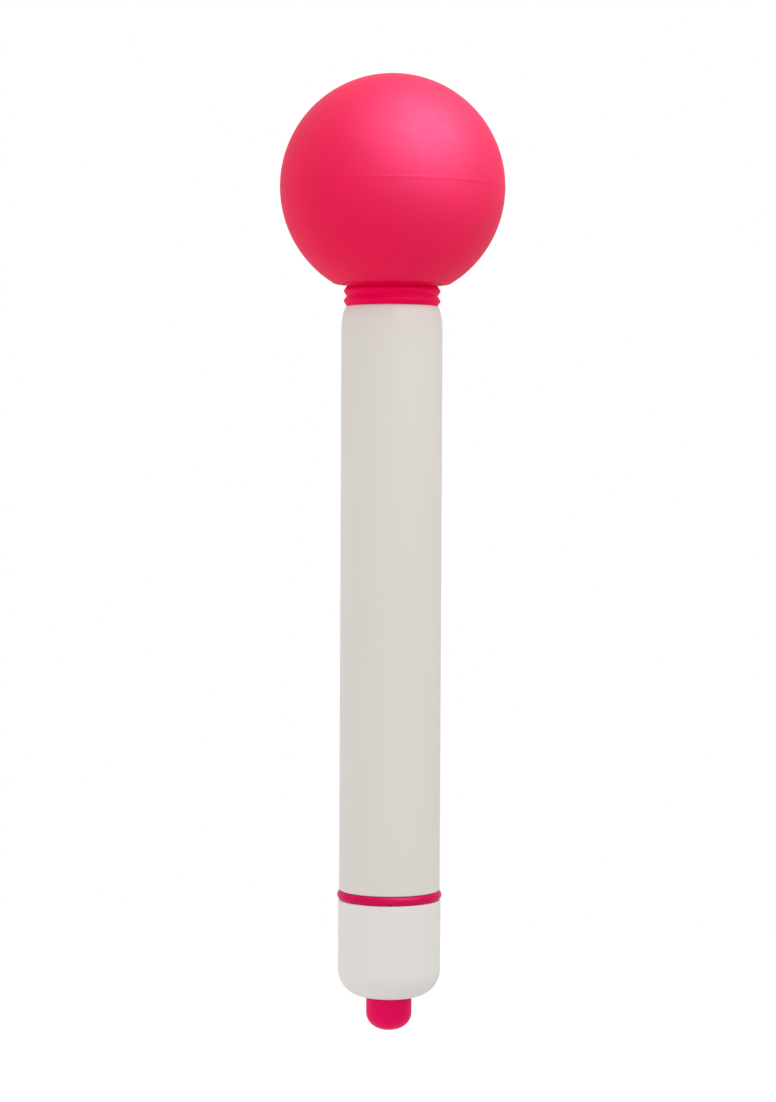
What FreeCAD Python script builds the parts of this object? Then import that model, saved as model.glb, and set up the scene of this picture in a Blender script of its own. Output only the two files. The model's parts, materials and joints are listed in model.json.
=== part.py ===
"""Handheld wand massager: a ball head on a flexible ribbed neck, a straight tubular handle that holds
two AA cells, and a screw cap with a push button in its end.

Millimetres. +Z runs along the wand towards the ball, and the origin is the centre of the handle tube.
Each function below makes one sub-part, and main() writes every sub-part to parts/NODE.step.
"""

import FreeCAD, Part
import math
import os

from FreeCAD import Vector

# ---- driving dimensions -------------------------------------------------------------------------
TUBE_LENGTH = 130.2
TUBE_R = 11.25
TUBE_BORE_R = 9.65
SHOULDER_DROP = 5.5       # height of the rounded shoulder at the tube's top
SHOULDER_INSET = 1.4      # how far that shoulder closes in
WEB_THICKNESS = 3.0       # closed top of the tube
WEB_HOLE_R = 7.6
LINER_R = 9.45            # liner and carrier inside the tube
LINER_BORE_R = 7.45

BALL_R = 25.0
SKIN_THICKNESS = 2.2
SHELL_WALL = 1.8
PLATE_THICKNESS = 2.2     # the head's base plate
BALL_ABOVE_TUBE = 26.35   # ball centre above the tube's top face
FOOT_BELOW_BALL = 21.75   # flat foot of the ball below its centre

RIB_PITCH = 2.2
RIB_CREST_R = 10.75
RIB_VALLEY_R = 10.1
SLEEVE_WALL = 0.9
LIP_R = 7.75              # inner edge of the sleeve's two clamped lips
LIP = 0.8                 # their thickness
NECK_BORE_R = 5.6
FLANGE_R = 8.9            # hollow bolts that clamp the two lips
BASE_BOLT_R = 7.5
PLUG_BOLT_R = 7.6
NECK_WIRE_R = 0.5         # neck spring
NECK_COIL_R = 4.9

RING_HALF = 1.05          # half the height of the sealing ring's bead
RING_R = 11.66

CAP_R = 11.45
CAP_BORE_R = 9.6
CAP_DEPTH = 22.7          # sealing plane to the cap's bottom
CAP_FLOOR_DEPTH = 19.8    # sealing plane to the inside of the cap's bottom
BUTTON_R = 5.1
BUTTON_DEPTH = 30.4       # sealing plane to the button's tip
BUTTON_HOLE_R = 5.3
BUTTON_FLANGE_R = 6.3
BUTTON_WALL = 1.3

THREAD_LEAD = 6.0         # two starts, 3 mm apart
THREAD_STARTS = 2
THREAD_TOLERANCE = 1e-4   # where the ridges' faces cross their wall
COLLAR_CORE_R = 8.8
COLLAR_CREST_R = 9.42
TUBE_THREAD_R = 9.03      # crest of the tube's internal thread
COLLAR_BORE_R = 7.5
COLLAR_TOP = 9.5          # above the sealing plane

CELL_R = 7.0
CELL_LENGTH = 50.5
CELL_NUB_R = 2.7
CELL_NUB = 1.2
STRIP_HALF = 2.0          # half the width of the contact strip

PCB_R = 9.45
PCB_THICKNESS = 1.0
PCB_SCREW_CIRCLE_R = 8.5
SWITCH_HALF = 3.1         # half the width of the switch's housing
SWITCH_HEIGHT = 3.7

MOTOR_R = 10.2
MOTOR_FLAT = 7.7          # half the distance across the can's flats
MOTOR_LENGTH = 20.0
MOTOR_WALL = 0.9
SHAFT_R = 1.0
SHAFT_FIT = 0.01          # between the shaft and what is pressed on it
BUSHING_R = 2.27
BUSHING_SEAT_R = 2.3
TERMINAL_X = 5.0
POLE_ANGLES = (0, 120, 240)
WEIGHT_R = 8.0
LEAD_R = 0.6

BOSS_CIRCLE_R = 15.5      # head screws
BOSS_ANGLES = (45, 135, 225, 315)
HEAD_SCREW_R = 1.2
HEAD_SCREW_HOLE_R = 1.3

# ---- places along the wand ----------------------------------------------------------------------
TUBE_TOP = TUBE_LENGTH / 2
TUBE_BOTTOM = -TUBE_LENGTH / 2
SEAM = TUBE_BOTTOM - RING_HALF            # sealing plane, the middle of the ring
WEB_BOTTOM = TUBE_TOP - WEB_THICKNESS
BALL = TUBE_TOP + BALL_ABOVE_TUBE
FOOT = BALL - FOOT_BELOW_BALL
SHELL_R = BALL_R - SKIN_THICKNESS - 0.05
SHELL_INNER_R = SHELL_R - SHELL_WALL
SHELL_BASE = TUBE_TOP + 3 * RIB_PITCH + 0.02   # underside of the head's base plate, on the third rib
SHELL_FLOOR = SHELL_BASE + PLATE_THICKNESS     # its top
SCREW_SEAT = BALL - 9.8                   # under the head screws' heads
CELLS_BOTTOM = SEAM + 4.0
CELLS_TOP = CELLS_BOTTOM + 2 * CELL_LENGTH
CARRIER_BASE = CELLS_TOP - 0.5
CARRIER_TOP = CELLS_TOP + 4.4
STRIP_TOP = CELLS_TOP + 5.0
TAIL_TOP = CELLS_TOP + 5.6                # soldered end of the positive contact
MOTOR_BOTTOM = BALL - 8.9
MOTOR_TOP = MOTOR_BOTTOM + MOTOR_LENGTH
CORE_BOTTOM = MOTOR_BOTTOM + 5.8
CORE_TOP = MOTOR_TOP - 3.6
PCB_TOP = SEAM - 8.6
PCB_BOTTOM = PCB_TOP - PCB_THICKNESS
CONTACT_SEAT = SEAM + COLLAR_TOP + 0.35   # top of the cap's contact ring
CAP_RIM = SEAM - RING_HALF
CAP_FLOOR = SEAM - CAP_FLOOR_DEPTH
STEM_LOW = SEAM - 16.55                   # switch stem: foot, flange and tip
STEM_FLANGE = SEAM - 12.55
STEM_TIP = SEAM - 11.4

UP = Vector(0, 0, 1)


# ---- helpers ------------------------------------------------------------------------------------
def outline(start, *steps):
    """Closed face in the XZ plane. A step is the next (r, z), or a pair ((r, z), (r, z)): the corner
    that a quarter ellipse rounds off, and the point where it ends."""
    edges, here = [], Vector(start[0], 0, start[1])
    for step in steps + (start,):
        if isinstance(step[0], tuple):
            corner, there = (Vector(p[0], 0, p[1]) for p in step)
            curve = Part.BezierCurve()
            curve.setPoles([here, corner, there])
            curve.setWeight(2, math.sqrt(0.5))
            edges.append(curve.toShape())
        else:
            there = Vector(step[0], 0, step[1])
            if (there - here).Length < 1e-6:
                continue
            edges.append(Part.LineSegment(here, there).toShape())
        here = there
    return Part.Face(Part.Wire(edges))


def turned(start, *steps):
    """Solid of revolution about Z from an outline."""
    return outline(start, *steps).revolve(Vector(0, 0, 0), UP, 360)


def sphere_r(radius, z):
    """Radius of the circle that a sphere about the ball's centre has at height z."""
    return math.sqrt(radius ** 2 - (z - BALL) ** 2)


def rod(radius, z0, z1, x=0.0, y=0.0):
    return Part.makeCylinder(radius, z1 - z0, Vector(x, y, z0), UP)


def tube(outer_r, inner_r, z0, z1):
    return rod(outer_r, z0, z1).cut(rod(inner_r, z0 - 1, z1 + 1))


def block(x0, x1, y0, y1, z0, z1):
    return Part.makeBox(x1 - x0, y1 - y0, z1 - z0, Vector(x0, y0, z0))


def polar(radius, degrees):
    angle = math.radians(degrees)
    return radius * math.cos(angle), radius * math.sin(angle)


def spun(shape, degrees):
    """A copy of shape, turned about Z."""
    copy = shape.copy()
    copy.rotate(Vector(0, 0, 0), UP, degrees)
    return copy


def fused(shapes):
    return shapes[0].multiFuse(shapes[1:]).removeSplitter() if len(shapes) > 1 else shapes[0]


def wound(path, wire_r):
    """Round wire along a path that starts on the XZ plane."""
    start = path.Vertexes[0].Point
    section = Part.Wire(Part.makeCircle(wire_r, start, Vector(0, 1, 0)))
    return path.makePipeShell([section], True, True)


def coil(wire_r, mean_r, z0, z1, turns):
    """Cylindrical spring about Z, its wire's ends at z0 and z1."""
    height = z1 - z0 - 2 * wire_r
    path = Part.makeHelix(height / turns, height, mean_r)
    path.translate(Vector(0, 0, z0 + wire_r))
    return wound(Part.Wire(path.Edges), wire_r)


def tapered_coil(wire_r, bottom_r, top_r, z0, z1, turns):
    """Conical spring about Z, from bottom_r at z0 to top_r at z1."""
    steps = 12 * turns
    points = []
    for step in range(steps + 1):
        share = step / steps
        x, y = polar(bottom_r + (top_r - bottom_r) * share, 360 * turns * share)
        points.append(Vector(x, y, z0 + wire_r + (z1 - z0 - 2 * wire_r) * share))
    path = Part.BSplineCurve()
    path.interpolate(points)
    return wound(Part.Wire(path.toShape()), wire_r)


def lead(points, bend_r):
    """Insulated wire along a route of straight runs joined by tangent arcs."""
    route = [Vector(*p) for p in points]
    edges, here = [], route[0]
    for before, corner, after in zip(route, route[1:], route[2:]):
        back, on = (before - corner).normalize(), (after - corner).normalize()
        half = back.getAngle(on) / 2
        reach = bend_r / math.tan(half)
        first, last = corner + back * reach, corner + on * reach
        middle = (back + on).normalize()
        apex = corner + middle * (bend_r / math.sin(half) - bend_r)
        edges.append(Part.LineSegment(here, first).toShape())
        edges.append(Part.Arc(first, apex, last).toShape())
        here = last
    edges.append(Part.LineSegment(here, route[-1]).toShape())
    section = Part.Wire(Part.makeCircle(LEAD_R, route[0], route[1] - route[0]))
    return Part.Wire(edges).makePipeShell([section], True, False)


def threaded(body, root_r, crest_r, z0, z1, phase):
    """A round body with thread ridges, one per start, between two heights.

    The ridges' roots are sunk into its wall. The first ridge's line crosses the sealing plane at the
    angle phase.
    """
    outward = 1 if crest_r > root_r else -1
    sunk = root_r - 0.25 * outward
    foot = 0.62
    low, high = z0 + foot, z1 - foot
    corners = [(sunk, -foot), (root_r, -0.55), (crest_r, -0.28), (crest_r, 0.28), (root_r, 0.55),
               (sunk, foot)]
    loop = [Vector(r, 0, z) for r, z in corners]
    path = Part.makeHelix(THREAD_LEAD, high - low, root_r)
    ridge = Part.Wire(path.Edges).makePipeShell([Part.makePolygon(loop + [loop[0]])], True, True)
    ridge.translate(Vector(0, 0, low))
    ridges = [spun(ridge, 90 + 360 * start / THREAD_STARTS) for start in range(THREAD_STARTS)]
    joined = body.fuse(ridges, THREAD_TOLERANCE).removeSplitter()
    climbed = 360 * (low - SEAM) / THREAD_LEAD
    return spun(joined, phase + climbed - 90)


# ---- handle -------------------------------------------------------------------------------------
def handle_tube():
    """Moulded tube: rounded shoulder and closed web at the top, internal thread at the bottom."""
    shoulder = TUBE_TOP - SHOULDER_DROP
    body = turned(
        (TUBE_BORE_R, TUBE_BOTTOM),
        (TUBE_R - 0.25, TUBE_BOTTOM),
        ((TUBE_R, TUBE_BOTTOM), (TUBE_R, TUBE_BOTTOM + 0.25)),
        (TUBE_R, shoulder),
        ((TUBE_R, TUBE_TOP), (TUBE_R - SHOULDER_INSET, TUBE_TOP)),
        (WEB_HOLE_R, TUBE_TOP), (WEB_HOLE_R, WEB_BOTTOM),
        (TUBE_BORE_R - 0.8, WEB_BOTTOM),
        ((TUBE_BORE_R, WEB_BOTTOM), (TUBE_BORE_R, WEB_BOTTOM - 0.8)))
    return threaded(body, TUBE_BORE_R, TUBE_THREAD_R, SEAM + 2.0, SEAM + 9.4, 90)


def neck_base():
    """Hollow bolt that holds the sleeve's lower lip against the tube's top face."""
    end, flange = TUBE_TOP - 7.2, TUBE_TOP + LIP + 0.1
    flat_r = FLANGE_R - 0.3
    return turned(
        (NECK_BORE_R, end), (BASE_BOLT_R - 0.4, end), (BASE_BOLT_R, end + 0.4),
        (BASE_BOLT_R, flange), (flat_r, flange),
        ((FLANGE_R, flange), (FLANGE_R, flange + 0.3)),
        (FLANGE_R, flange + 0.5),
        ((FLANGE_R, flange + 0.8), (flat_r, flange + 0.8)),
        (NECK_BORE_R + 0.5, flange + 0.8), (NECK_BORE_R, flange + 0.3))


def slotted_nut(outer_r, inner_r, z0, z1):
    """Round nut with four spanner slots and chamfered rims."""
    bevel = 0.4
    body = turned(
        (inner_r, z0), (outer_r - bevel, z0), (outer_r, z0 + bevel), (outer_r, z1 - bevel),
        (outer_r - bevel, z1), (inner_r, z1))
    slots = [spun(block(outer_r - 0.9, outer_r + 1, -1.1, 1.1, z0 - 1, z1 + 1), a)
             for a in (0, 90, 180, 270)]
    return body.cut(fused(slots))


def neck_base_nut():
    return slotted_nut(9.2, BASE_BOLT_R + 0.03, WEB_BOTTOM - 3.0, WEB_BOTTOM)


def battery_sleeve():
    """Liner that centres the cells, with a channel outside for the contact strip."""
    liner = tube(LINER_R, LINER_BORE_R, SEAM + COLLAR_TOP + 1.5, CARRIER_BASE)
    return liner.cut(strip_channel(SEAM + COLLAR_TOP, CELLS_TOP))


def strip_channel(z0, z1):
    """What is cut from the liner and the carrier for the contact strip."""
    half = STRIP_HALF + 0.3
    return block(-half, half, LINER_R - 0.85, LINER_R + 0.55, z0, z1)


def battery(z0):
    """AA cell: insulated can with a crimped shoulder, a positive nub and a flat negative base."""
    can_top = z0 + CELL_LENGTH - CELL_NUB
    return turned(
        (0, z0), (4.6, z0), (4.6, z0 + 0.3), (CELL_R - 0.5, z0 + 0.3),
        ((CELL_R, z0 + 0.3), (CELL_R, z0 + 0.8)),
        (CELL_R, can_top - 0.9),
        ((CELL_R, can_top - 0.2), (CELL_R - 0.7, can_top - 0.2)),
        (4.1, can_top - 0.2), (4.1, can_top), (CELL_NUB_R, can_top),
        (CELL_NUB_R, can_top + CELL_NUB - 0.3),
        ((CELL_NUB_R, can_top + CELL_NUB), (CELL_NUB_R - 0.3, can_top + CELL_NUB)),
        (0, can_top + CELL_NUB))


def contact_strip():
    """Brass strip in the sleeve's channel, from the cap's contact ring to the top of the carrier."""
    foot, sheet, out = CONTACT_SEAT, 0.3, LINER_R - 0.3
    run = block(-STRIP_HALF, STRIP_HALF, out - sheet, out, foot, STRIP_TOP)
    toe = block(-STRIP_HALF, STRIP_HALF, out - 1.4, out, foot, foot + sheet)
    tab = block(-STRIP_HALF, STRIP_HALF, 2.4, out, STRIP_TOP - sheet, STRIP_TOP)
    return fused([run, toe, tab])


def contact_carrier():
    """Insulating disc on top of the sleeve, which carries the positive contact."""
    base, top, recess = CARRIER_BASE, CARRIER_TOP, CELLS_TOP + 0.4
    disc = turned(
        (0, recess), (5.9, recess), (5.9, base), (LINER_R, base),
        (LINER_R, top - 0.5), ((LINER_R, top), (LINER_R - 0.5, top)), (0, top))
    tail_slot = block(-4.15, -3.35, -1.6, 1.6, base, top + 1)
    return disc.cut(fused([strip_channel(base - 1, top + 1), tail_slot]))


def positive_contact():
    """Brass plate under the carrier, with a tail that comes through to be soldered."""
    plate = rod(5.7, CELLS_TOP, CELLS_TOP + 0.4)
    tail = block(-3.9, -3.6, -1.4, 1.4, CELLS_TOP + 0.2, TAIL_TOP)
    return fused([plate, tail])


# ---- neck ---------------------------------------------------------------------------------------
def neck_sleeve():
    """Ribbed elastomer sleeve with two clamped lips; its third rib tucks into the ball's foot."""
    base = TUBE_TOP
    first = TUBE_TOP + RIB_PITCH / 2
    outer = [(RIB_VALLEY_R, base)]
    for rib in range(3):
        crest = first + rib * RIB_PITCH
        outer += [(RIB_CREST_R - 0.12, crest - 0.16),
                  ((RIB_CREST_R, crest - 0.1), (RIB_CREST_R, crest)),
                  ((RIB_CREST_R, crest + 0.1), (RIB_CREST_R - 0.12, crest + 0.16)),
                  (RIB_VALLEY_R, crest + RIB_PITCH / 2)]
    top = TUBE_TOP + 3 * RIB_PITCH
    inside_r, middle = RIB_VALLEY_R - SLEEVE_WALL, first + RIB_PITCH
    inner = [(LIP_R, top), (LIP_R, top - LIP), (inside_r, top - LIP),
             (inside_r, middle + RIB_PITCH / 2),
             (RIB_CREST_R - SLEEVE_WALL, middle),
             (inside_r, middle - RIB_PITCH / 2),
             (inside_r, base + LIP), (LIP_R, base + LIP), (LIP_R, base)]
    return turned(*outer, (RIB_VALLEY_R, top), *inner)


def neck_spring():
    """Close-wound spring that carries the head and lets it flex."""
    return coil(NECK_WIRE_R, NECK_COIL_R, TUBE_TOP - 6.5, SHELL_FLOOR + 2.4, 13)


def motor_lead(side):
    """Wire from the carrier to a motor terminal, through the middle of the neck spring."""
    inside = 1.3 * side
    on_tail, on_strip = (-3.75, 0.0, TAIL_TOP + 0.1), (1.3, 3.2, STRIP_TOP + 0.1)
    x0, y0, start = on_tail if side < 0 else on_strip
    end_x = TERMINAL_X * side
    return lead([(x0, y0, start), (x0, y0, start + 5), (inside, 0, TUBE_TOP - 10),
                 (inside, 0, MOTOR_BOTTOM - 6.2), (end_x, 0, MOTOR_BOTTOM - 3.4),
                 (end_x, 0, MOTOR_BOTTOM - 1.75)], 1.0)


# ---- head ---------------------------------------------------------------------------------------
def head_skin():
    """Soft skin of the ball: a sphere cut off flat below, open where the neck enters."""
    lip = 0.9
    skirt_r = sphere_r(BALL_R, FOOT + lip)
    ball = Part.makeSphere(BALL_R, Vector(0, 0, BALL))
    hollow = Part.makeSphere(BALL_R - SKIN_THICKNESS, Vector(0, 0, BALL))
    below = rod(BALL_R + 1, BALL - BALL_R - 1, FOOT)
    trim = turned((skirt_r - 0.75, FOOT - 0.1), (skirt_r + 3, FOOT - 0.1),
                  (skirt_r + 3, FOOT + lip), (skirt_r, FOOT + lip),
                  ((skirt_r - 0.55, FOOT), (skirt_r - 0.75, FOOT)))
    mouth = rod(RIB_CREST_R + 0.3, FOOT - 1, FOOT + 3)
    return ball.cut(below).cut(trim).cut(hollow).cut(mouth)


def half_shell(upper):
    """One hemisphere of the hard core, cut from a hollow sphere."""
    whole = Part.makeSphere(SHELL_R, Vector(0, 0, BALL)).cut(
        Part.makeSphere(SHELL_INNER_R, Vector(0, 0, BALL)))
    keep = (rod(BALL_R, BALL, BALL + BALL_R) if upper
            else rod(BALL_R, BALL - BALL_R, BALL))
    return whole.common(keep)


def bosses(radius, z0, z1):
    return [rod(radius, z0, z1, *polar(BOSS_CIRCLE_R, a)) for a in BOSS_ANGLES]


def head_shell_lower():
    """Lower hard shell: base plate for the neck, four screw bosses, tongue round the rim."""
    solid_ball = Part.makeSphere(SHELL_R, Vector(0, 0, BALL))
    base = rod(BALL_R, SHELL_BASE, SHELL_FLOOR).common(solid_ball)
    bowl = half_shell(False).cut(rod(BALL_R, BALL - BALL_R, SHELL_BASE))
    posts = [p.common(solid_ball) for p in bosses(2.9, SHELL_BASE, BALL - 1.0)]
    tongue = tube(SHELL_INNER_R + 1.0, SHELL_INNER_R + 0.02, BALL - 0.5, BALL + 1.2)
    body = fused([bowl, base] + posts + [tongue])
    holes = ([rod(PLUG_BOLT_R + 0.1, SHELL_BASE - 1, SHELL_FLOOR + 1)]
             + bosses(2.25, SHELL_BASE - 2, SCREW_SEAT)
             + bosses(HEAD_SCREW_HOLE_R, SHELL_BASE, BALL))
    return body.cut(fused(holes))


def head_shell_upper():
    """Upper hard shell: a dome with four pilot bosses and a rebate for the tongue."""
    solid_ball = Part.makeSphere(SHELL_R, Vector(0, 0, BALL))
    posts = [p.common(solid_ball) for p in bosses(2.6, BALL + 1.0, BALL + 15.5)]
    body = fused([half_shell(True)] + posts)
    rebate = tube(SHELL_INNER_R + 1.05, SHELL_INNER_R - 1.0, BALL - 1, BALL + 1.25)
    pilots = bosses(HEAD_SCREW_R + 0.03, BALL, BALL + 6.5)
    return body.cut(fused([rebate] + pilots))


def pan_screw(shank_r, head_r, under_head, head_height, tip):
    """Self-tapping screw along Z: domed head below, cross recess, pointed tip."""
    domed = turned(
        (0, under_head - head_height), (head_r * 0.6, under_head - head_height),
        ((head_r, under_head - head_height), (head_r, under_head - head_height * 0.3)),
        (head_r, under_head), (shank_r, under_head), (shank_r, tip - shank_r * 1.6),
        (shank_r * 0.25, tip), (0, tip))
    arm, deep = head_r * 0.62, head_height * 0.55
    bottom = under_head - head_height
    cross = [block(-arm, arm, -head_r * 0.13, head_r * 0.13, bottom - 1, bottom + deep),
             block(-head_r * 0.13, head_r * 0.13, -arm, arm, bottom - 1, bottom + deep)]
    return domed.cut(fused(cross))


def head_screws():
    """Four screws, up through the lower bosses into the upper ones."""
    screws = []
    for angle in BOSS_ANGLES:
        screw = pan_screw(HEAD_SCREW_R, 2.15, SCREW_SEAT, 1.7, BALL + 6.0)
        screw.translate(Vector(*polar(BOSS_CIRCLE_R, angle), 0))
        screws.append(screw)
    return Part.makeCompound(screws)


def neck_plug():
    """Hollow bolt that clamps the sleeve's upper lip to the head's base plate."""
    flange, end = SHELL_BASE - LIP - 0.02, SHELL_FLOOR + 3.6
    flat_r = FLANGE_R - 0.3
    return turned(
        (NECK_BORE_R, flange - 0.2), (NECK_BORE_R + 0.5, flange - 0.7), (flat_r, flange - 0.7),
        ((FLANGE_R, flange - 0.7), (FLANGE_R, flange - 0.4)),
        (FLANGE_R, flange - 0.3),
        ((FLANGE_R, flange), (flat_r, flange)),
        (PLUG_BOLT_R, flange), (PLUG_BOLT_R, end - 0.4), (PLUG_BOLT_R - 0.4, end),
        (NECK_BORE_R, end))


def neck_plug_nut():
    return slotted_nut(10.2, PLUG_BOLT_R + 0.03, SHELL_FLOOR, SHELL_FLOOR + 2.8)


def motor_section(offset, z0, z1):
    """Round bar with two flats: the outside of the motor can, grown by offset."""
    radius, flat = MOTOR_R + offset, MOTOR_FLAT + offset
    return rod(radius, z0, z1).common(block(-radius, radius, -flat, flat, z0, z1))


def motor_can():
    """Steel can with its bearing boss on top, open below for the end cap."""
    roof = MOTOR_TOP - MOTOR_WALL
    inside = motor_section(-MOTOR_WALL, MOTOR_BOTTOM - 1, roof)
    shell = motor_section(0, MOTOR_BOTTOM, MOTOR_TOP).cut(inside)
    boss = rod(3.1, roof, MOTOR_TOP + 1.3)
    return fused([shell, boss]).cut(rod(BUSHING_SEAT_R, MOTOR_TOP - 2, MOTOR_TOP + 2))


def motor_end_cap():
    """Plastic cap in the can's open end, bored for the lower bearing and the terminals."""
    seat, top = MOTOR_BOTTOM - 0.8, MOTOR_BOTTOM + 3
    plug = motor_section(-MOTOR_WALL - 0.05, seat, MOTOR_BOTTOM + 2.2)
    hub = rod(3.4, MOTOR_BOTTOM - 1.6, MOTOR_BOTTOM + 2.6)
    slots = [block(TERMINAL_X * s - 0.32, TERMINAL_X * s + 0.32, -1.3, 1.3, MOTOR_BOTTOM - 2, top)
             for s in (-1, 1)]
    return fused([plug, hub]).cut(fused([rod(BUSHING_SEAT_R, seat, top)] + slots))


def motor_terminals():
    """Two brass tabs through the end cap, with a solder hole in each."""
    tabs = []
    for side in (-1, 1):
        x = TERMINAL_X * side
        tab = block(x - 0.25, x + 0.25, -1.2, 1.2, MOTOR_BOTTOM - 1.65, MOTOR_BOTTOM + 2.8)
        eye = Part.makeCylinder(0.45, 2, Vector(x - 1, 0, MOTOR_BOTTOM - 1.15), Vector(1, 0, 0))
        tabs.append(tab.cut(eye))
    return Part.makeCompound(tabs)


def motor_brushes():
    """Two brush arms that press on the commutator from the terminals."""
    arms = []
    for side in (-1, 1):
        low, high = MOTOR_BOTTOM + 2.8, MOTOR_BOTTOM + 4.4
        drum, pad_out, out = 2.25 * side, 2.75 * side, (TERMINAL_X + 0.25) * side
        foot = block(*sorted((drum, out)), -0.6, 0.6, low, low + 0.25)
        pad = block(*sorted((drum, pad_out)), -0.6, 0.6, low, high)
        arms.append(fused([foot, pad]))
    return Part.makeCompound(arms)


def motor_bushings():
    """Two sintered bearings for the shaft."""
    bore = SHAFT_R + 0.05
    lower = tube(BUSHING_R, bore, MOTOR_BOTTOM - 0.7, MOTOR_BOTTOM + 2.2)
    upper = tube(BUSHING_R, bore, MOTOR_TOP - 1.0, MOTOR_TOP + 1.2)
    return Part.makeCompound([lower, upper])


def motor_magnets():
    """Two arc magnets against the can's round sides."""
    z0, z1 = MOTOR_BOTTOM + 3.4, MOTOR_TOP - 2.2
    ring = tube(MOTOR_R - MOTOR_WALL - 0.05, 7.0, z0, z1)
    halves = [ring.common(block(*sorted((5.4 * s, 12 * s)), -6.2, 6.2, z0, z1)) for s in (-1, 1)]
    return Part.makeCompound(halves)


def motor_damper():
    """Foam-rubber band round the can, which takes up the play in the cradle."""
    z0, z1 = MOTOR_BOTTOM + 3.0, MOTOR_TOP - 3.0
    return motor_section(1.0, z0, z1).cut(motor_section(0.02, z0 - 1, z1 + 1))


def motor_cradle():
    """Ring round the damper with four ears clamped between the upper and lower bosses."""
    z0, z1 = MOTOR_BOTTOM + 3.4, MOTOR_TOP - 3.4
    ring = rod(12.5, z0, z1).cut(motor_section(1.05, z0 - 1, z1 + 1))
    low, high = BALL - 0.95, BALL + 0.95
    arms = [spun(block(11.6, BOSS_CIRCLE_R, -1.6, 1.6, low, high), a) for a in BOSS_ANGLES]
    body = fused([ring] + bosses(2.8, low, high) + arms)
    return body.cut(fused(bosses(HEAD_SCREW_HOLE_R, BALL - 2, BALL + 2)))


# ---- rotor --------------------------------------------------------------------------------------
def motor_shaft():
    low, high = MOTOR_BOTTOM - 0.6, MOTOR_TOP + 7.2
    return turned((0, low), (SHAFT_R, low), (SHAFT_R, high - 0.2), (SHAFT_R - 0.2, high), (0, high))


def armature_core():
    """Three-pole laminated core."""
    z0, z1 = CORE_BOTTOM, CORE_TOP
    poles = []
    for angle in POLE_ANGLES:
        arm = spun(block(1.6, 5.6, -0.9, 0.9, z0, z1), angle)
        shoe = tube(6.3, 5.2, z0, z1)
        wedge = Part.Face(Part.makePolygon([Vector(0, 0, z0), Vector(9, -6.5, z0),
                                            Vector(9, 6.5, z0), Vector(0, 0, z0)]))
        poles += [arm, shoe.common(spun(wedge.extrude(Vector(0, 0, z1 - z0)), angle))]
    return fused([rod(2.0, z0, z1)] + poles).cut(rod(SHAFT_R + SHAFT_FIT, z0 - 1, z1 + 1))


def armature_windings():
    """A copper coil round each pole's arm."""
    coils = []
    for angle in POLE_ANGLES:
        outer = block(2.5, 4.75, -1.8, 1.8, CORE_BOTTOM - 0.9, CORE_TOP + 0.9)
        outer = outer.makeFillet(0.7, [e for e in outer.Edges if e.Length > 8])
        hole = block(2.0, 5.6, -0.92, 0.92, CORE_BOTTOM - 0.02, CORE_TOP + 0.02)
        coils.append(spun(outer.cut(hole), angle))
    return Part.makeCompound(coils)


def commutator():
    """Split copper drum that the brushes run on."""
    z0, z1 = MOTOR_BOTTOM + 2.75, MOTOR_BOTTOM + 4.8
    drum = tube(2.15, SHAFT_R + SHAFT_FIT, z0, z1)
    gaps = [spun(block(1.5, 3, -0.12, 0.12, z0 - 1, z1 + 1), a) for a in (60, 180, 300)]
    return drum.cut(fused(gaps))


def eccentric_weight():
    """Half disc on the end of the shaft, which shakes the head as it spins."""
    z0, z1 = MOTOR_TOP + 2.0, MOTOR_TOP + 6.5
    hub = rod(2.6, z0, z1)
    half = rod(WEIGHT_R, z0, z1).common(block(-9, 9, 0, 9, z0, z1))
    half = half.makeFillet(0.5, [e for e in half.Edges
                                 if abs(e.BoundBox.ZLength) < 0.01 and e.Length > 17])
    return fused([hub, half]).cut(rod(SHAFT_R + SHAFT_FIT, z0 - 1, z1 + 1))


# ---- sealing ring -------------------------------------------------------------------------------
def seal_ring():
    """Round-edged elastomer ring, squeezed between the tube's end and the cap."""
    bore_r, flat_r = 9.45, RING_R - 0.95
    low, high = SEAM - RING_HALF, SEAM + RING_HALF
    return turned(
        (bore_r, low), (flat_r, low),
        ((RING_R, low), (RING_R, SEAM)),
        ((RING_R, high), (flat_r, high)),
        (bore_r, high))


# ---- cap ----------------------------------------------------------------------------------------
def cap_shell():
    """Cup that closes the handle: rounded bottom with the button's hole, four ribs inside."""
    bottom, floor = SEAM - CAP_DEPTH, CAP_FLOOR
    cup = turned(
        (CAP_BORE_R, CAP_RIM), (CAP_R - 0.35, CAP_RIM),
        ((CAP_R, CAP_RIM), (CAP_R, CAP_RIM - 0.35)),
        (CAP_R, bottom + 5.95),
        ((CAP_R, bottom), (BUTTON_HOLE_R + 0.2, bottom)),
        (BUTTON_HOLE_R, bottom + 0.2), (BUTTON_HOLE_R, floor),
        (7.2, floor), ((CAP_BORE_R, floor), (CAP_BORE_R, floor + 4.0)))
    rib_out = CAP_BORE_R + 0.3
    ribs = [spun(block(7.9, rib_out, -0.8, 0.8, floor + 0.6, PCB_BOTTOM), a)
            for a in (45, 135, 225, 315)]
    ribs = [r.common(rod(rib_out, floor, CAP_RIM)) for r in ribs]
    return fused([cup] + ribs)


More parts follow.
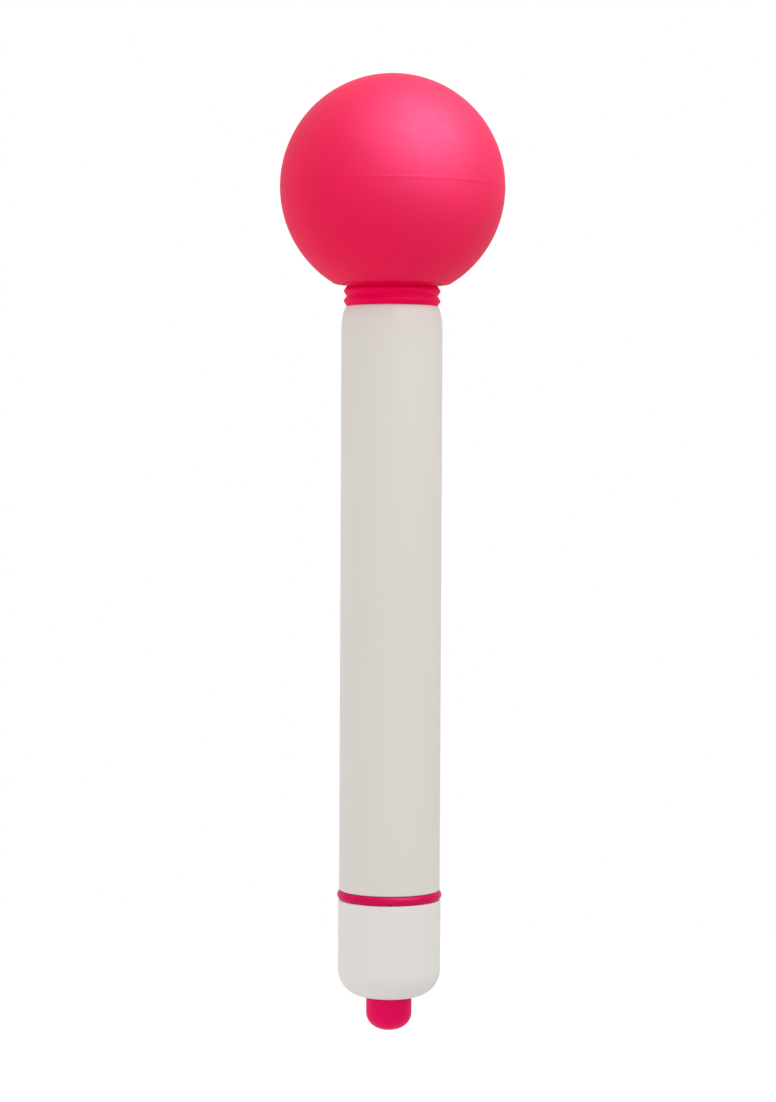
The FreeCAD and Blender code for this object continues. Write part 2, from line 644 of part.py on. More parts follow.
def threaded_collar():
    """Collar pressed into the cap: seat for the ring, two-start thread, and the board below."""
    low, top = PCB_TOP, SEAM + COLLAR_TOP
    press_r, ring_seat_r = CAP_BORE_R - 0.03, 9.35
    body = turned(
        (COLLAR_BORE_R, low), (press_r, low), (press_r, CAP_RIM), (ring_seat_r, CAP_RIM),
        (ring_seat_r, SEAM + 1.2),
        (COLLAR_CORE_R, SEAM + 1.7), (COLLAR_CORE_R, top - 0.3), (COLLAR_CORE_R - 0.3, top),
        (COLLAR_BORE_R + 0.3, top), (COLLAR_BORE_R, top - 0.3))
    screwed = threaded(body, COLLAR_CORE_R, COLLAR_CREST_R, SEAM + 1.9, top - 0.5, 0)
    pilots = [rod(0.55, low - 1, low + 4.0, *polar(PCB_SCREW_CIRCLE_R, a))
              for a in (0, 180)]
    return screwed.cut(fused(pilots))


def switch_pcb():
    """Round board with clearance for its two screws and the contact's leg."""
    board = rod(PCB_R, PCB_BOTTOM, PCB_TOP)
    holes = [rod(0.6, PCB_BOTTOM - 1, PCB_TOP + 1, *polar(PCB_SCREW_CIRCLE_R, a))
             for a in (0, 180)]
    slot = block(-1.35, 1.35, 7.1, 7.55, PCB_BOTTOM - 1, PCB_TOP + 1)
    return board.cut(fused(holes + [slot]))


def pcb_screws():
    """Two small screws that hold the board to the collar."""
    screws = []
    for angle in (0, 180):
        screw = pan_screw(0.52, 0.95, PCB_BOTTOM, 0.8, PCB_TOP + 3.4)
        screw.translate(Vector(*polar(PCB_SCREW_CIRCLE_R, angle), 0))
        screws.append(screw)
    return Part.makeCompound(screws)


def battery_spring():
    """Tapered coil between the board and the lower cell."""
    return tapered_coil(0.35, 6.2, 3.2, PCB_TOP + 0.02, CELLS_BOTTOM - 0.05, 6)


def cap_contact_ring():
    """Brass ring on the collar's top, with a leg down to the board."""
    washer = tube(8.6, COLLAR_BORE_R - 0.25, SEAM + COLLAR_TOP, CONTACT_SEAT)
    leg = block(-1.25, 1.25, 7.17, 7.37, PCB_BOTTOM - 0.4, CONTACT_SEAT)
    return fused([washer, leg])


def switch_body():
    """Push-switch housing under the board, hollow for its spring."""
    z0, z1 = PCB_BOTTOM - SWITCH_HEIGHT, PCB_BOTTOM
    body = block(-SWITCH_HALF, SWITCH_HALF, -SWITCH_HALF, SWITCH_HALF, z0, z1)
    body = body.makeFillet(0.4, [e for e in body.Edges if e.BoundBox.ZLength > 3])
    bevel = [e for e in body.Edges if e.BoundBox.ZLength < 0.01 and e.BoundBox.ZMin < z0 + 0.1]
    body = body.makeChamfer(0.25, bevel)
    return body.cut(fused([rod(2.2, z0 + 0.7, z1 - 0.4), rod(1.8, z0 - 1, z1 - 0.4)]))


def switch_pins():
    """Four surface-mount legs of the switch, up its sides to the board."""
    legs = []
    for x in (-2.4, 2.4):
        for y in (-SWITCH_HALF - 0.2, SWITCH_HALF + 0.2):
            legs.append(block(x - 0.3, x + 0.3, y - 0.15, y + 0.15, PCB_BOTTOM - 2.2, PCB_BOTTOM))
    return Part.makeCompound(legs)


def control_chip():
    """Eight-lead motor driver beside the switch."""
    pitch = 1.27
    shapes = [block(-2.45, 2.45, 4.4, 6.6, PCB_BOTTOM - 1.4, PCB_BOTTOM - 0.1)]
    for n in range(4):
        x = -1.9 + pitch * n
        for y0, y1 in ((3.85, 4.5), (6.5, 7.0)):
            shapes.append(block(x - 0.2, x + 0.2, y0, y1, PCB_BOTTOM - 0.75, PCB_BOTTOM))
    return fused(shapes)


def pcb_passives():
    """Resistors and capacitors on the board's underside."""
    parts = []
    for x, y, long in ((-4.4, -4.9, 1.6), (-1.6, -5.4, 1.6), (1.2, -5.4, 2.0), (4.6, -4.9, 1.6)):
        parts.append(block(x - long / 2, x + long / 2, y - 0.4, y + 0.4,
                           PCB_BOTTOM - 0.55, PCB_BOTTOM))
    return Part.makeCompound(parts)


# ---- button -------------------------------------------------------------------------------------
def button_cap():
    """Push button: hollow thimble with a domed tip, a retaining flange and a post for the switch."""
    flange_low, tip = CAP_FLOOR + 0.1, SEAM - BUTTON_DEPTH
    flange_top = flange_low + 1.5
    inner_r = BUTTON_R - BUTTON_WALL
    body = turned(
        (inner_r, flange_top), (BUTTON_FLANGE_R - 0.3, flange_top),
        ((BUTTON_FLANGE_R, flange_top), (BUTTON_FLANGE_R, flange_top - 0.3)),
        (BUTTON_FLANGE_R, flange_low), (BUTTON_R, flange_low), (BUTTON_R, tip + 3.8),
        ((BUTTON_R, tip), (0.6, tip)), (0, tip), (0, tip + 1.6), (inner_r - 1.6, tip + 1.6),
        ((inner_r, tip + 1.6), (inner_r, tip + 3.6)))
    post_r, socket_r = 2.5, 1.75
    socket, rim = STEM_LOW - 0.05, STEM_LOW + 1.25
    post = turned((0, tip + 1.0), (post_r, tip + 1.0), (post_r, rim - 0.3), (post_r - 0.3, rim),
                  (socket_r, rim), (socket_r, socket), (0, socket))
    return fused([body, post])


def switch_plunger():
    """Stem of the switch, gripped by the button's post, with a flange inside the housing."""
    stem_r, flange_r, tip_r = 1.7, 2.05, 0.8
    flange_top = STEM_FLANGE + 0.45
    return turned(
        (0, STEM_LOW), (stem_r - 0.2, STEM_LOW), (stem_r, STEM_LOW + 0.2), (stem_r, STEM_FLANGE),
        (flange_r, STEM_FLANGE), (flange_r, flange_top), (tip_r, flange_top), (tip_r, STEM_TIP),
        (0, STEM_TIP))


def switch_spring():
    """Return spring inside the switch, between the stem's flange and the housing."""
    return coil(0.1, 1.45, STEM_FLANGE + 0.47, PCB_BOTTOM - 0.42, 2.5)


# ---- every sub-part, by node name ---------------------------------------------------------------
NODES = {
    "handle_tube": handle_tube,
    "neck_base": neck_base,
    "neck_base_nut": neck_base_nut,
    "battery_sleeve": battery_sleeve,
    "battery_lower": lambda: battery(CELLS_BOTTOM),
    "battery_upper": lambda: battery(CELLS_BOTTOM + CELL_LENGTH),
    "contact_strip": contact_strip,
    "contact_carrier": contact_carrier,
    "positive_contact": positive_contact,
    "neck_sleeve": neck_sleeve,
    "neck_spring": neck_spring,
    "motor_lead_red": lambda: motor_lead(-1),
    "motor_lead_black": lambda: motor_lead(1),
    "head_skin": head_skin,
    "head_shell_lower": head_shell_lower,
    "head_shell_upper": head_shell_upper,
    "head_screws": head_screws,
    "neck_plug": neck_plug,
    "neck_plug_nut": neck_plug_nut,
    "motor_can": motor_can,
    "motor_end_cap": motor_end_cap,
    "motor_terminals": motor_terminals,
    "motor_brushes": motor_brushes,
    "motor_bushings": motor_bushings,
    "motor_magnets": motor_magnets,
    "motor_damper": motor_damper,
    "motor_cradle": motor_cradle,
    "motor_shaft": motor_shaft,
    "armature_core": armature_core,
    "armature_windings": armature_windings,
    "commutator": commutator,
    "eccentric_weight": eccentric_weight,
    "seal_ring": seal_ring,
    "cap_shell": cap_shell,
    "threaded_collar": threaded_collar,
    "switch_pcb": switch_pcb,
    "pcb_screws": pcb_screws,
    "battery_spring": battery_spring,
    "cap_contact_ring": cap_contact_ring,
    "switch_body": switch_body,
    "switch_pins": switch_pins,
    "control_chip": control_chip,
    "pcb_passives": pcb_passives,
    "button_cap": button_cap,
    "switch_plunger": switch_plunger,
    "switch_spring": switch_spring,
}


def main():
    os.makedirs("parts", exist_ok=True)
    for name, make in NODES.items():
        shape = make()
        sound = shape.isValid() and shape.Volume > 0 and all(s.isClosed() for s in shape.Solids)
        print(f"{name}: {len(shape.Solids)} solid, {shape.Volume:.2f} mm3, sound {sound}")
        shape.exportStep(f"parts/{name}.step")


main()
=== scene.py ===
"""Handheld wand massager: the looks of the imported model.

Metres, in the model's own frame: +Z runs along the wand towards the ball, -Y is the front, and the
origin is the centre of the handle tube.
"""

import json
import math

import bpy
from mathutils import Matrix, Vector


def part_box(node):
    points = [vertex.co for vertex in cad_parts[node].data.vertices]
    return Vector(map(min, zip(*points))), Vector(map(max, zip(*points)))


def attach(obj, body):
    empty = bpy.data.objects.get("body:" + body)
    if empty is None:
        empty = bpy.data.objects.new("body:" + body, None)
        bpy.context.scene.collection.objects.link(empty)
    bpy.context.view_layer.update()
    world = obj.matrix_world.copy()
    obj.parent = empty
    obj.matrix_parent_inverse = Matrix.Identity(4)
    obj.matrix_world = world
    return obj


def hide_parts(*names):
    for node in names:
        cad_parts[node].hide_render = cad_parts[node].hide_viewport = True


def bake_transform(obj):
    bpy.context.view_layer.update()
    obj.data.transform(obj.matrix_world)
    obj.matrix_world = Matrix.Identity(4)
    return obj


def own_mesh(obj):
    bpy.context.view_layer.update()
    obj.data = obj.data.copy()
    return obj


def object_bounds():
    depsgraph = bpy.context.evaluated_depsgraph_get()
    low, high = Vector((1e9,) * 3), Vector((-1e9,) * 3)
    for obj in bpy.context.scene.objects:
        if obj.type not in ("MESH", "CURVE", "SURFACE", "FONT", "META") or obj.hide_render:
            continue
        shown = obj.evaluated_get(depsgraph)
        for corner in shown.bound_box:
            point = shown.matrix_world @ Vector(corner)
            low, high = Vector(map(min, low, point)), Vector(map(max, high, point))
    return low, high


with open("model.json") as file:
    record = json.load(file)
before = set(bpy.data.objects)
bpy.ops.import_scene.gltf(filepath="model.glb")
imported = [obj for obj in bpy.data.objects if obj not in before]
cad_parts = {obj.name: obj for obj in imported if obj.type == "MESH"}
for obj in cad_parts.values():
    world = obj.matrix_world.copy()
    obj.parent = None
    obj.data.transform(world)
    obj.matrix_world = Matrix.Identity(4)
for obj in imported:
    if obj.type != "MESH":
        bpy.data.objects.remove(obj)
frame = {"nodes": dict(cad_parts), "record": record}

MM = 0.001
cad_lo, cad_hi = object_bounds()

# ---- places that the frame gives ----------------------------------------------------------------
skin_lo, skin_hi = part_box("head_skin")
sleeve_lo, sleeve_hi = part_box("neck_sleeve")
BALL_R = (skin_hi.x - skin_lo.x) / 2
BALL_Z = skin_hi.z - BALL_R
FOOT_Z = skin_lo.z
SHELL_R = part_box("head_shell_upper")[1].x
SEAM_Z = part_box("cap_shell")[1].z
NECK_BOTTOM = sleeve_lo.z
NECK_TOP = sleeve_hi.z
NECK_MIDDLE = (NECK_BOTTOM + NECK_TOP) / 2

# ---- the neck's sleeve --------------------------------------------------------------------------
NECK_LIP = 0.8 * MM             # thickness of its clamped rim, at each end
NECK_RIBS = 3


# ---- mesh helpers -------------------------------------------------------------------------------
def new_object(name, mesh, material, sharp_degrees=35.0):
    """Puts a mesh in the scene, smooth except across edges sharper than sharp_degrees."""
    mesh.validate()
    mesh.polygons.foreach_set("use_smooth", [True] * len(mesh.polygons))
    mesh.set_sharp_from_angle(angle=math.radians(sharp_degrees))
    mesh.materials.append(material)
    piece = bpy.data.objects.new(name, mesh)
    bpy.context.scene.collection.objects.link(piece)
    return piece


def lathe(name, profile, material, segments=240):
    """Turns a closed (r, z) loop about the Z axis."""
    rows = len(profile)
    points, faces = [], []
    for column in range(segments):
        angle = 2 * math.pi * column / segments
        points += [(r * math.cos(angle), r * math.sin(angle), z) for r, z in profile]
    for column in range(segments):
        here, there = column * rows, (column + 1) % segments * rows
        for row in range(rows):
            up = (row + 1) % rows
            faces.append((here + row, there + row, there + up, here + up))
    mesh = bpy.data.meshes.new(name)
    mesh.from_pydata(points, [], faces)
    return new_object(name, mesh, material)


def sweep(name, path, radius, material, sides=14):
    """A round wire along a list of points, capped at both ends."""
    normal = Vector((0, 1, 0))
    points, faces = [], []
    for index, centre in enumerate(path):
        before, after = path[max(index - 1, 0)], path[min(index + 1, len(path) - 1)]
        along = (after - before).normalized()
        normal = (normal - along * normal.dot(along)).normalized()
        side = along.cross(normal)
        for step in range(sides):
            angle = 2 * math.pi * step / sides
            points.append(centre + radius * (math.cos(angle) * normal + math.sin(angle) * side))
    for ring in range(len(path) - 1):
        for step in range(sides):
            a, b = ring * sides + step, ring * sides + (step + 1) % sides
            faces.append((a, b, b + sides, a + sides))
    faces.append(tuple(reversed(range(sides))))
    faces.append(tuple(range(len(points) - sides, len(points))))
    mesh = bpy.data.meshes.new(name)
    mesh.from_pydata(points, [], faces)
    return new_object(name, mesh, material, sharp_degrees=60)


def helix(radius, low, high, turns, per_turn):
    """Points of a coil about Z between two heights, from the +X side."""
    steps = round(turns * per_turn)
    path = []
    for step in range(steps + 1):
        angle = 2 * math.pi * step / per_turn
        height = low + (high - low) * step / steps
        path.append(Vector((radius * math.cos(angle), radius * math.sin(angle), height)))
    return path


def arc(centre, radius, start, end, steps):
    """Points (r, z) along a circular arc, in degrees from the +r direction."""
    angles = [math.radians(start + (end - start) * i / steps) for i in range(steps + 1)]
    return [(centre[0] + radius * math.cos(a), centre[1] + radius * math.sin(a)) for a in angles]


def split_at(path, height):
    """A rising path in two, sharing a point at that height."""
    cut = next(i for i, point in enumerate(path) if point.z >= height)
    low, high = path[cut - 1], path[cut]
    joint = low.lerp(high, (height - low.z) / (high.z - low.z))
    return path[:cut] + [joint], [joint] + path[cut:]


# ---- materials ----------------------------------------------------------------------------------
class Shader:
    """A Principled material and short ways to add what varies over its surface."""

    def __init__(self, name, colour, roughness, **values):
        self.material = bpy.data.materials.new(name)
        self.material.use_nodes = True
        self.tree = self.material.node_tree
        self.bsdf = self.tree.nodes["Principled BSDF"]
        self.colour = colour
        self.bsdf.inputs["Base Color"].default_value = (*colour, 1)
        self.bsdf.inputs["Roughness"].default_value = roughness
        for socket, value in values.items():
            self.bsdf.inputs[socket.replace("_", " ")].default_value = value
        self.place = self.add("ShaderNodeTexCoord").outputs["Object"]
        self.normal = None

    def add(self, kind, **values):
        node = self.tree.nodes.new(kind)
        for key, value in values.items():
            if key in node.inputs:
                node.inputs[key].default_value = value
            else:
                setattr(node, key, value)
        return node

    def link(self, output, node, socket):
        self.tree.links.new(output, node.inputs[socket])

    def noise(self, size, detail=3.0, stretch=(1, 1, 1)):
        """Noise whose features are about size metres, longer where stretch is above 1."""
        scale = self.add("ShaderNodeMapping")
        scale.inputs["Scale"].default_value = [1 / (size * s) for s in stretch]
        self.link(self.place, scale, "Vector")
        noise = self.add("ShaderNodeTexNoise", Scale=1.0, Detail=detail)
        self.link(scale.outputs["Vector"], noise, "Vector")
        return noise.outputs["Fac"]

    def vary_roughness(self, factor, low, high):
        spread = self.add("ShaderNodeMapRange")
        spread.inputs["From Min"].default_value = 0.3
        spread.inputs["From Max"].default_value = 0.7
        spread.inputs["To Min"].default_value = low
        spread.inputs["To Max"].default_value = high
        self.link(factor, spread, "Value")
        self.link(spread.outputs["Result"], self.bsdf, "Roughness")

    def vary_colour(self, factor, other, low=0.3, high=0.7):
        """Mixes the colour towards other as factor goes from low to high."""
        spread = self.add("ShaderNodeMapRange")
        spread.inputs["From Min"].default_value = low
        spread.inputs["From Max"].default_value = high
        self.link(factor, spread, "Value")
        mix = self.add("ShaderNodeMix", data_type="RGBA")
        base = self.bsdf.inputs["Base Color"]
        one, two = (socket for socket in mix.inputs if socket.type == "RGBA")
        one.default_value = (*self.colour, 1)
        two.default_value = (*other, 1)
        if base.links:
            self.tree.links.new(base.links[0].from_socket, one)
        self.link(spread.outputs["Result"], mix, "Factor")
        mixed = next(socket for socket in mix.outputs if socket.type == "RGBA")
        self.tree.links.new(mixed, base)

    def bump(self, factor, height, strength=1.0):
        """Raises the surface by height metres where factor is 1."""
        bump = self.add("ShaderNodeBump", Distance=height, Strength=strength)
        self.link(factor, bump, "Height")
        if self.normal:
            self.link(self.normal, bump, "Normal")
        self.normal = bump.outputs["Normal"]
        self.link(self.normal, self.bsdf, "Normal")


def soft_touch(name, colour, roughness, grain=0.004 * MM, **values):
    """Matte elastomer skin: fine grain and faint clouding in its colour."""
    s = Shader(name, colour, roughness, **values)
    s.vary_colour(s.noise(9 * MM), [c * 0.93 for c in colour])
    s.vary_roughness(s.noise(2.5 * MM), roughness - 0.02, roughness + 0.03)
    s.bump(s.noise(0.22 * MM, 2.0), grain)
    return s.material


def moulded(name, colour, roughness, grain=0.002 * MM, **values):
    """Injection-moulded plastic: slow waviness, faint mottling and a fine texture."""
    s = Shader(name, colour, roughness, **values)
    s.vary_colour(s.noise(14 * MM, 2.0, (1, 1, 3)), [c * 0.97 for c in colour])
    s.vary_roughness(s.noise(4 * MM), roughness - 0.03, roughness + 0.03)
    s.bump(s.noise(12 * MM, 1.0, (1, 1, 4)), 0.012 * MM)
    s.bump(s.noise(0.3 * MM, 2.0), grain)
    return s.material


def ivory_plastic(name):
    """Off-white plastic of the handle and the cap; below the seam the cap is painted a shade lighter, as
    painted light for the light falling on the wand's lower end.
    """
    colour, painted_light_colour = (0.79, 0.75, 0.705), (0.84, 0.80, 0.76)
    s = Shader(name, colour, 0.48, Specular_IOR_Level=0.06)
    s.vary_colour(s.noise(14 * MM, 2.0, (1, 1, 3)), [c * 0.98 for c in colour])
    # painted light: everything below the seam is mixed towards a lighter colour, standing in for the
    # light on the lower end
    height = s.add("ShaderNodeSeparateXYZ")
    s.link(s.place, height, "Vector")
    below = s.add("ShaderNodeMath", operation="LESS_THAN")
    s.link(height.outputs["Z"], below, 0)
    below.inputs[1].default_value = SEAM_Z
    s.vary_colour(below.outputs["Value"], painted_light_colour, 0.0, 1.0)
    s.vary_roughness(s.noise(4 * MM), 0.46, 0.52)
    s.bump(s.noise(12 * MM, 1.0, (1, 1, 4)), 0.012 * MM)
    s.bump(s.noise(0.3 * MM, 2.0), 0.002 * MM)
    return s.material


def metal(name, colour, roughness, drawn=(1, 1, 14)):
    """Plated or drawn metal, its fine scratches longest along the stretch."""
    s = Shader(name, colour, roughness, Metallic=1.0)
    streaks = s.noise(0.25 * MM, 3.0, drawn)
    s.vary_roughness(streaks, roughness - 0.08, roughness + 0.1)
    s.vary_colour(s.noise(2.5 * MM), [c * 0.82 for c in colour])
    s.bump(streaks, 0.003 * MM)
    return s.material


def cell_sleeve(name):
    """Plain foil sleeve of an AA cell: blue, with bare metal at both ends."""
    nub = 1.2 * MM
    bare_share, blur = 0.03, 0.002
    s = Shader(name, (0.05, 0.14, 0.32), 0.32, Coat_Weight=0.3)
    separate = s.add("ShaderNodeSeparateXYZ")
    s.link(s.place, separate, "Vector")
    low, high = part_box("battery_lower")
    length = high.z - low.z - nub
    offset = s.add("ShaderNodeMath", operation="SUBTRACT")
    s.link(separate.outputs["Z"], offset, 0)
    offset.inputs[1].default_value = low.z
    part = s.add("ShaderNodeMath", operation="DIVIDE")
    s.link(offset.outputs["Value"], part, 0)
    part.inputs[1].default_value = length
    along = s.add("ShaderNodeMath", operation="FRACT")
    s.link(part.outputs["Value"], along, 0)
    ends = s.add("ShaderNodeMath", operation="PINGPONG")
    s.link(along.outputs["Value"], ends, 0)
    ends.inputs[1].default_value = 0.5
    s.vary_colour(ends.outputs["Value"], (0.62, 0.62, 0.60), bare_share, bare_share - blur)
    s.vary_roughness(s.noise(1.5 * MM, 3.0, (1, 1, 8)), 0.26, 0.4)
    s.bump(s.noise(3 * MM, 2.0), 0.01 * MM)
    return s.material


def circuit_board(name):
    """Green solder mask over copper tracks that just show through."""
    tracks_per_metre = 420.0
    s = Shader(name, (0.012, 0.11, 0.05), 0.35)
    tracks = s.add("ShaderNodeTexBrick", Scale=tracks_per_metre)
    tracks.inputs["Mortar Size"].default_value = 0.03
    s.link(s.place, tracks, "Vector")
    s.vary_colour(tracks.outputs["Fac"], (0.03, 0.2, 0.07), 0.2, 0.8)
    s.vary_roughness(s.noise(1 * MM), 0.3, 0.42)
    s.bump(tracks.outputs["Fac"], 0.02 * MM)
    return s.material


def make_materials():
    """One material for each material slot of the record."""
    haze = (1.0, 0.46, 1.0, 1.0)
    matte = {"Specular_IOR_Level": 0.06, "Specular_Tint": haze}
    silky = {"Specular_IOR_Level": 0.4, "Specular_Tint": haze}
    return {
        "ball_silicone": soft_touch("ball_silicone", (0.93, 0.0005, 0.06), 0.64, **silky),
        "neck_silicone": soft_touch("neck_silicone", (0.95, 0.001, 0.085), 0.5, **matte),
        "seal_silicone": soft_touch("seal_silicone", (0.72, 0.005, 0.098), 0.35, 0.001 * MM, **matte),
        "button_plastic": moulded("button_plastic", (0.90, 0.005, 0.115), 0.4, **matte),
        "ivory_plastic": ivory_plastic("ivory_plastic"),
        "shell_plastic": moulded("shell_plastic", (0.58, 0.58, 0.56), 0.5),
        "nylon": moulded("nylon", (0.68, 0.65, 0.56), 0.45),
        "liner_plastic": moulded("liner_plastic", (0.03, 0.03, 0.033), 0.4),
        "cell_can": cell_sleeve("cell_can"),
        "brass_contacts": metal("brass_contacts", (0.80, 0.58, 0.22), 0.3),
        "copper": metal("copper", (0.82, 0.36, 0.18), 0.35, (1, 1, 1)),
        "spring_steel": metal("spring_steel", (0.55, 0.55, 0.56), 0.25, (6, 6, 1)),
        "screw_steel": metal("screw_steel", (0.6, 0.6, 0.57), 0.35, (1, 1, 1)),
        "motor_steel": metal("motor_steel", (0.6, 0.6, 0.6), 0.28),
        "sintered_bronze": metal("sintered_bronze", (0.5, 0.34, 0.16), 0.5, (1, 1, 1)),
        "ferrite": moulded("ferrite", (0.03, 0.03, 0.034), 0.6, 0.008 * MM),
        "weight_brass": metal("weight_brass", (0.72, 0.52, 0.22), 0.28, (8, 8, 1)),
        "foam_rubber": soft_touch("foam_rubber", (0.02, 0.02, 0.022), 0.8, 0.03 * MM),
        "red_insulation": moulded("red_insulation", (0.5, 0.008, 0.008), 0.4),
        "black_insulation": moulded("black_insulation", (0.012, 0.012, 0.013), 0.4),
        "board": circuit_board("board"),
        "black_plastic": moulded("black_plastic", (0.015, 0.015, 0.016), 0.45),
        "white_plastic": moulded("white_plastic", (0.75, 0.75, 0.72), 0.4),
        "ceramic_parts": moulded("ceramic_parts", (0.30, 0.19, 0.10), 0.4),
    }


def paint_cad_nodes(materials):
    """Gives every carried-over CAD node the material of its slot."""
    for part in frame["record"]["subparts"]:
        slots = frame["nodes"][part["node"]].data.materials
        slots.clear()
        slots.append(materials[part["material_slot"]])


# ---- pieces -------------------------------------------------------------------------------------
def make_ball(material):
    """The ball's skin: sphere with a moulding line round its middle, flat foot with a soft edge."""
    inner_r = SHELL_R + 0.05 * MM
    mouth_r, chamfer = 11.05 * MM, 0.3 * MM
    edge = 1.5 * MM
    line, half_width = 0.035 * MM, 0.35 * MM
    flat_share = 0.25           # of the moulding line's width
    near_pole = 89.6            # degrees, where the skin stops, which leaves a pinhole at the top
    centre = (0, BALL_Z)
    # the foot stands clear of the neck's top rib, and its edge is tangent to it and to the sphere
    foot_z = FOOT_Z + 0.25 * MM
    edge_z = foot_z + edge
    edge_r = math.sqrt((BALL_R - edge) ** 2 - (edge_z - BALL_Z) ** 2)
    meets = math.degrees(math.atan2(edge_z - BALL_Z, edge_r))
    half_angle = math.degrees(half_width / BALL_R)
    flat = half_width * flat_share
    outer = arc(centre, BALL_R, meets, -half_angle, 90)
    outer += [(BALL_R + line, BALL_Z - flat), (BALL_R + line, BALL_Z + flat)]
    outer += arc(centre, BALL_R, half_angle, near_pole, 120)
    inner_low = -math.degrees(math.acos(mouth_r / inner_r))
    inner = arc(centre, inner_r, near_pole, inner_low, 60)
    foot = [(mouth_r, foot_z + chamfer), (mouth_r + chamfer, foot_z), (edge_r, foot_z)]
    corner = arc((edge_r, edge_z), edge, -90, meets, 12)
    ball = lathe("ball_skin", outer + inner + foot + corner[1:-1], material)
    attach(ball, "head")
    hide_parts("head_skin")


def bend(lower, upper, node):
    """Bakes the transforms of the lower and upper halves of a piece that crosses the neck's two joints,
    and hides the CAD node they replace.
    """
    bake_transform(lower)
    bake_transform(upper)
    for half in (lower, upper):
        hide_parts(node)


def rib_profile(low, high):
    """Outside of the ribbed sleeve between two heights: rounded crests and sharp valleys."""
    pitch = (NECK_TOP - NECK_BOTTOM) / NECK_RIBS
    crest_r = sleeve_hi.x
    depth, soft = 0.65 * MM, 0.18
    steps = 36
    points = []
    for step in range(steps + 1):
        z = low + (high - low) * step / steps
        from_crest = abs(((z - NECK_BOTTOM) / pitch) % 1 - 0.5) * 2
        fall = (math.hypot(from_crest, soft) - soft) / (math.hypot(1, soft) - soft)
        points.append((crest_r - depth * fall, z))
    return points


def make_neck_sleeve(material):
    """The ribbed sleeve in two halves, split at the middle of the neck."""
    wall, lip_r = 0.85 * MM, 7.75 * MM
    seat, ceiling = NECK_BOTTOM + NECK_LIP, NECK_TOP - NECK_LIP
    low = rib_profile(NECK_BOTTOM, NECK_MIDDLE)
    high = rib_profile(NECK_MIDDLE, NECK_TOP)
    inside_low = [(r - wall, z) for r, z in low if z > seat]
    inside_high = [(r - wall, z) for r, z in high if z < ceiling]
    bottom_lip = [(inside_low[0][0], seat), (lip_r, seat), (lip_r, NECK_BOTTOM)]
    top_lip = [(lip_r, NECK_TOP), (lip_r, ceiling), (inside_high[-1][0], ceiling)]
    lower = lathe("neck_sleeve_lower", low + inside_low[::-1] + bottom_lip, material)
    upper = lathe("neck_sleeve_upper", high + top_lip + inside_high[::-1], material)
    bend(lower, upper, "neck_sleeve")


def make_neck_spring(material):
    """The spring inside the neck, in two halves."""
    wire, turns = 0.5 * MM, 13
    bottom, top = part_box("neck_spring")
    path = helix(top.x - wire, bottom.z + wire, top.z - wire, turns, per_turn=36)
    low, high = split_at(path, NECK_MIDDLE)
    lower = sweep("neck_spring_lower", low, wire, material)
    upper = sweep("neck_spring_upper", high, wire, material)
    bend(lower, upper, "neck_spring")


def smooth_line(route):
    """Points of a smooth curve that passes inside the corners of a route."""
    curve = bpy.data.curves.new("route", "CURVE")
    curve.dimensions = "3D"
    curve.resolution_u = 10
    spline = curve.splines.new("NURBS")
    spline.points.add(len(route) - 1)
    for point, place in zip(spline.points, route):
        point.co = (*place, 1)
    spline.order_u = 3
    spline.use_endpoint_u = True
    line = bpy.data.objects.new("route", curve)
    bpy.context.scene.collection.objects.link(line)
    points = [v.co.copy() for v in bpy.data.meshes.new_from_object(line).vertices]
    bpy.data.objects.remove(line)
    return points


def make_lead(node, start, side, material):
    """A motor lead: up through the neck's bolts, and out to its side of the motor."""
    low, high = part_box(node)
    radius = 0.6 * MM
    rise = 5 * MM                               # straight up from its contact
    gather = NECK_BOTTOM - 10 * MM              # where both leads run close to the axis
    turn_z, side_z = high.z - 4.45 * MM, high.z - 1.65 * MM
    inside, outside = 1.3 * MM * side, 5.0 * MM * side
    route = [(*start, low.z), (*start, low.z + rise), (inside, 0, gather), (inside, 0, NECK_MIDDLE),
             (inside, 0, turn_z), (outside, 0, side_z), (outside, 0, high.z)]
    lower_path, upper_path = split_at(smooth_line(route), NECK_MIDDLE)
    lower = sweep(node + "_lower", lower_path, radius, material)
    upper = sweep(node + "_upper", upper_path, radius, material)
    bend(lower, upper, node)


def make_switch_spring(material):
    """The spring over the switch stem's flange, carried with the button."""
    wire, turns = 0.1 * MM, 2.5
    low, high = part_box("switch_spring")
    path = helix(high.x - wire, low.z + wire, high.z - wire, turns, per_turn=40)
    spring = sweep("switch_spring_coil", path, wire, material)
    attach(spring, "button")
    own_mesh(spring)
    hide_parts("switch_spring")


# ---- stage --------------------------------------------------------------------------------------
def make_stage():
    """A large pale floor, low enough to look at the wand from below. It doesn't light the wand."""
    s = Shader("floor", (0.93, 0.93, 0.93), 0.9, Specular_IOR_Level=0.1, Emission_Strength=0.35,
               Emission_Color=(1, 1, 1, 1))
    s.vary_colour(s.noise(0.3), (0.92, 0.92, 0.92))
    half, drop = 6.0, 1.0
    height = cad_lo.z - drop
    corners = [(-half, -half, height), (half, -half, height), (half, half, height), (-half, half, height)]
    mesh = bpy.data.meshes.new("floor")
    mesh.from_pydata(corners, [], [(0, 1, 2, 3)])
    floor = new_object("floor", mesh, s.material)
    floor.visible_diffuse = False
    floor.visible_glossy = False


def soft_box(name, direction, distance, size, power):
    """A round soft box that faces the ball."""
    ball = Vector((0, 0, BALL_Z))
    light = bpy.data.lights.new(name, "AREA")
    light.shape = "DISK"
    light.size = size
    light.energy = power
    lamp = bpy.data.objects.new(name, light)
    lamp.location = ball + Vector(direction).normalized() * distance
    lamp.rotation_mode = "QUATERNION"
    lamp.rotation_quaternion = (ball - lamp.location).to_track_quat("-Z", "Y")
    bpy.context.scene.collection.objects.link(lamp)
    return lamp


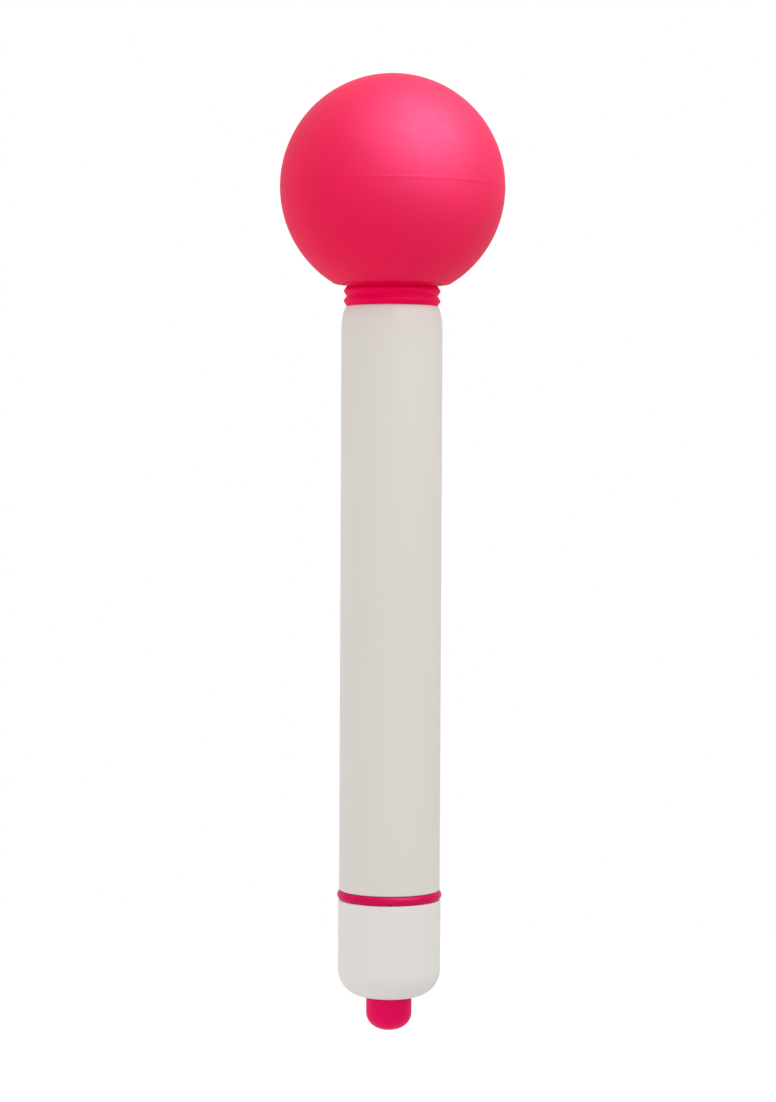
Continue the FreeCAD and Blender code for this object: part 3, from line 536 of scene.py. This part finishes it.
def make_surroundings():
    """A white background, and soft light from all round that is a little stronger on the left."""
    left, right = 0.91, 0.7
    world = bpy.data.worlds.new("studio")
    world.use_nodes = True
    nodes, links = world.node_tree.nodes, world.node_tree.links
    place = nodes.new("ShaderNodeTexCoord")
    across = nodes.new("ShaderNodeSeparateXYZ")
    links.new(place.outputs["Generated"], across.inputs["Vector"])
    light = nodes.new("ShaderNodeMapRange")
    light.inputs["From Min"].default_value = -1
    light.inputs["To Min"].default_value = left
    light.inputs["To Max"].default_value = right
    links.new(across.outputs["X"], light.inputs["Value"])
    path = nodes.new("ShaderNodeLightPath")
    shown = nodes.new("ShaderNodeMix")
    shown.inputs["B"].default_value = 1.0
    links.new(light.outputs["Result"], shown.inputs["A"])
    links.new(path.outputs["Is Camera Ray"], shown.inputs["Factor"])
    background = nodes["Background"]
    background.inputs["Color"].default_value = (1, 1, 1, 1)
    links.new(shown.outputs["Result"], background.inputs["Strength"])
    bpy.context.scene.world = world


def make_lights():
    """Even surroundings, a soft key from the upper right, and a broad sheen on what is glossy."""
    make_surroundings()
    soft_box("key", (0.5, -0.45, 0.74), distance=0.6, size=0.4, power=1.1)
    sheen = soft_box("sheen", (0.45, -0.5, 0.74), distance=0.6, size=0.8, power=25)
    sheen.visible_diffuse = False


def make_camera():
    """Long lens in front of the wand, a little above its middle and looking slightly down."""
    camera = bpy.data.cameras.new("camera")
    camera.lens = 93.3
    camera.sensor_width = 36.0
    camera.clip_start, camera.clip_end = 0.01, 20
    eye = bpy.data.objects.new("camera", camera)
    pitch, roll = math.radians(90 - 2.034), math.radians(0.27)
    turn = Matrix.Rotation(pitch, 4, "X") @ Matrix.Rotation(roll, 4, "Z")
    eye.matrix_world = Matrix.Translation((-0.65 * MM, -636.1 * MM, 33.25 * MM)) @ turn
    bpy.context.scene.collection.objects.link(eye)
    bpy.context.scene.camera = eye
    bpy.context.scene.view_settings.view_transform = "Standard"


def main():
    materials = make_materials()
    make_camera()
    make_stage()
    make_lights()
    paint_cad_nodes(materials)
    make_ball(materials["ball_silicone"])
    make_neck_sleeve(materials["neck_silicone"])
    make_neck_spring(materials["spring_steel"])
    make_lead("motor_lead_red", (-3.75 * MM, 0), -1, materials["red_insulation"])
    make_lead("motor_lead_black", (1.3 * MM, 3.2 * MM), 1,
              materials["black_insulation"])
    make_switch_spring(materials["spring_steel"])


main()
